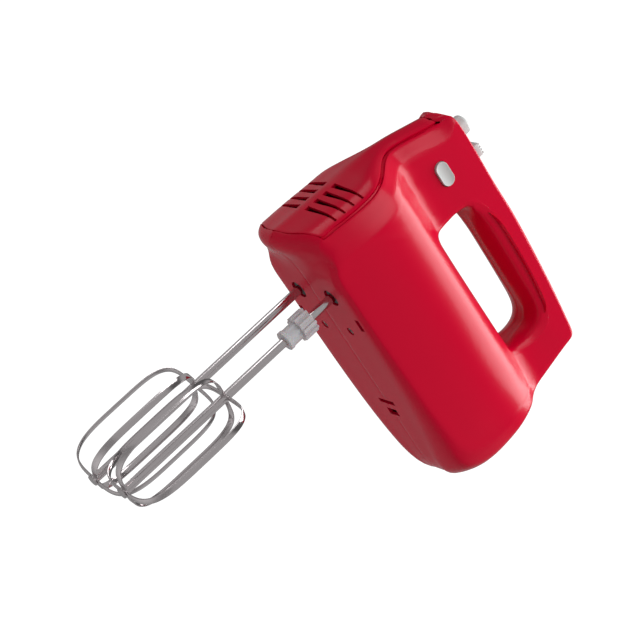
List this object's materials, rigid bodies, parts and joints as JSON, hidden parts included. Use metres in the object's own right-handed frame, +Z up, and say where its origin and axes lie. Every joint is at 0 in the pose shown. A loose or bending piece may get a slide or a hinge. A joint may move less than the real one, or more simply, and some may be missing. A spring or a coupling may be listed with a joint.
{
  "type": "hand mixer",
  "caption": "Electric hand mixer with a loop handle, vented nose cover, release button, speed slider, boost button and interleaving strip beaters.",
  "frame": {"origin": "on the underside of the housing, midway between the two beater sockets", "axes": "+Z up from the beaters towards the handle, -Y towards the nose, +X to the mixer's own left"},
  "size_m": [0.0801, 0.2004, 0.3013],
  "materials": {
    "red_plastic": "gloss",
    "white_plastic": "satin",
    "collar_plastic": "translucent",
    "bright_steel": "polished",
    "plain_steel": "machined",
    "nylon": "natural",
    "black_plastic": "moulded",
    "iron_stack": "laminated",
    "copper_wire": "enamelled copper",
    "bearing_bronze": "sintered bronze",
    "brass_tube": "drawn",
    "carbon": "carbon",
    "circuit_board": "laminate",
    "grommet_rubber": "moulded"
  },
  "bodies": {
    "housing": {"left_housing": "red_plastic", "right_housing": "red_plastic", "front_cover": "red_plastic", "housing_screws": "plain_steel", "foot_screws": "plain_steel", "gearbox_tray": "black_plastic", "gearbox_lid": "black_plastic", "lid_screws": "plain_steel", "left_thrust_washer": "plain_steel", "right_thrust_washer": "plain_steel", "stator_core": "iron_stack", "upper_field_coil": "copper_wire", "lower_field_coil": "copper_wire", "front_bearing_bush": "bearing_bronze", "rear_bearing_bush": "bearing_bronze", "motor_bracket": "black_plastic", "stator_screws": "plain_steel", "left_brush_holder": "brass_tube", "right_brush_holder": "brass_tube", "left_carbon_brush": "carbon", "right_carbon_brush": "carbon", "left_brush_spring": "plain_steel", "right_brush_spring": "plain_steel", "eject_guide": "black_plastic", "eject_spring": "plain_steel", "speed_switch": "black_plastic", "turbo_switch": "black_plastic", "control_board": "circuit_board", "board_components": "black_plastic", "cord_gland": "grommet_rubber", "cord_clamp": "black_plastic", "clamp_screws": "plain_steel"},
    "armature": {"motor_shaft": "plain_steel", "cooling_fan": "black_plastic", "armature_core": "iron_stack", "armature_winding": "copper_wire", "commutator": "copper_wire"},
    "left_spindle": {"left_drive_wheel": "nylon"},
    "right_spindle": {"right_drive_wheel": "nylon"},
    "left_beater": {"left_beater_shaft": "bright_steel", "left_beater_outer_loop": "bright_steel", "left_beater_inner_loop": "bright_steel", "left_beater_collar": "collar_plastic"},
    "right_beater": {"right_beater_shaft": "bright_steel", "right_beater_outer_loop": "bright_steel", "right_beater_inner_loop": "bright_steel"},
    "release": {"eject_button": "white_plastic", "eject_fork": "black_plastic"},
    "speed": {"speed_slider": "white_plastic"},
    "boost": {"turbo_button": "white_plastic"}
  },
  "joints": [
    {"name": "armature_spin", "type": "hinge", "parent": "housing", "child": "armature", "pos_m": [0, 0, 0.031], "axis": [0, 1, 0], "continuous": true},
    {"name": "left_spindle_spin", "type": "hinge", "parent": "housing", "child": "left_spindle", "pos_m": [0.0176, 0, 0], "axis": [0, 0, 1], "continuous": true},
    {"name": "right_spindle_spin", "type": "hinge", "parent": "housing", "child": "right_spindle", "pos_m": [-0.0176, 0, 0], "axis": [0, 0, 1], "continuous": true},
    {"name": "left_beater_slide", "type": "slide", "parent": "left_spindle", "child": "left_beater", "axis": [0, 0, -1], "range_m": [0, 0.006]},
    {"name": "right_beater_slide", "type": "slide", "parent": "right_spindle", "child": "right_beater", "axis": [0, 0, -1], "range_m": [0, 0.006]},
    {"name": "release_press", "type": "slide", "parent": "housing", "child": "release", "axis": [0, 0, -1], "range_m": [0, 0.006], "stiffness_N_per_m": 500, "springref_m": -0.01, "deforming": ["eject_spring"]},
    {"name": "speed_slide", "type": "slide", "parent": "housing", "child": "speed", "axis": [0, 1, 0], "range_m": [0, 0.016]},
    {"name": "boost_press", "type": "slide", "parent": "housing", "child": "boost", "axis": [-1, 0, 0], "range_m": [0, 0.002], "stiffness_N_per_m": 600, "springref_m": -0.002}
  ],
  "couplings": [
    {"joint": "left_spindle_spin", "follows": "armature_spin", "ratio": 0.076923},
    {"joint": "right_spindle_spin", "follows": "armature_spin", "ratio": -0.076923},
    {"joint": "left_beater_slide", "follows": "release_press", "ratio": 1},
    {"joint": "right_beater_slide", "follows": "release_press", "ratio": 1}
  ]
}
